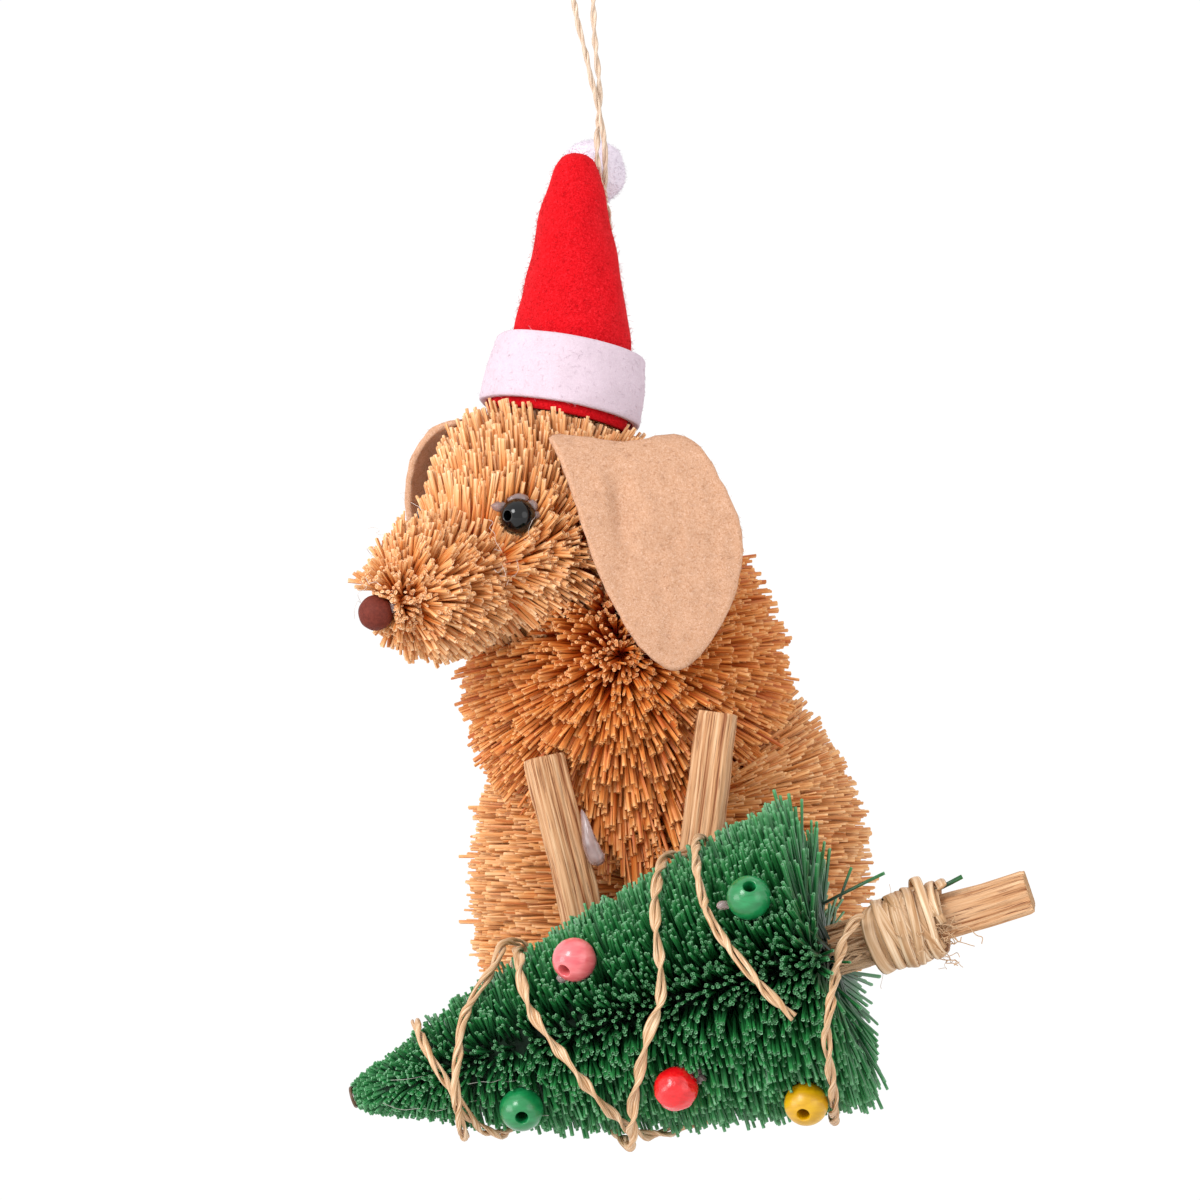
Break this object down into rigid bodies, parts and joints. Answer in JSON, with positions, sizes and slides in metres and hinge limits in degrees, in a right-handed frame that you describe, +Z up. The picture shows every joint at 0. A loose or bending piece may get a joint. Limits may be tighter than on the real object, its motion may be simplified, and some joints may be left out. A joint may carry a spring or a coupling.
{
  "type": "bristle dog ornament",
  "caption": "Hanging ornament: a sitting dog trimmed from straw bristle, with felt ears and hat, holding a green bristle tree wound with twine and beads.",
  "frame": {"origin": "top of the hanging loop, at the middle of its cord", "axes": "+Z up, +X to the viewer's right, -Y towards the viewer who sees the dog's face"},
  "size_m": [0.0875, 0.0929, 0.1643],
  "materials": {
    "straw_bristle": "dry plant bristle, satin",
    "green_bristle": "dyed plant bristle, satin",
    "tan_felt": "matt felt",
    "red_felt": "matt felt",
    "white_felt": "matt felt",
    "black_bead": "glossy",
    "nose_ball": "painted, matt",
    "wood": "split, bare",
    "raffia": "twisted plant fibre",
    "coral_bead": "painted, satin",
    "red_bead": "painted, glossy",
    "green_bead": "painted, satin",
    "yellow_bead": "painted, satin"
  },
  "bodies": {
    "root": {"head_bristle": "straw_bristle", "chest_bristle": "straw_bristle", "hindquarters_bristle": "straw_bristle", "ear_near": "tan_felt", "ear_far": "tan_felt", "eye_near": "black_bead", "eye_far": "black_bead", "nose": "nose_ball", "hat_cone": "red_felt", "hat_cuff": "white_felt", "hat_pompom": "white_felt", "foreleg_left": "wood", "foreleg_right": "wood", "tree_bristle": "green_bristle", "tree_trunk": "wood", "trunk_binding": "raffia", "garland_lower": "raffia", "garland_upper": "raffia", "tree_bead_coral": "coral_bead", "tree_bead_green_upper": "green_bead", "tree_bead_red": "red_bead", "tree_bead_green_lower": "green_bead", "tree_bead_yellow": "yellow_bead", "tree_bead_back_red": "red_bead", "hanging_cord": "raffia"}
  },
  "joints": []
}
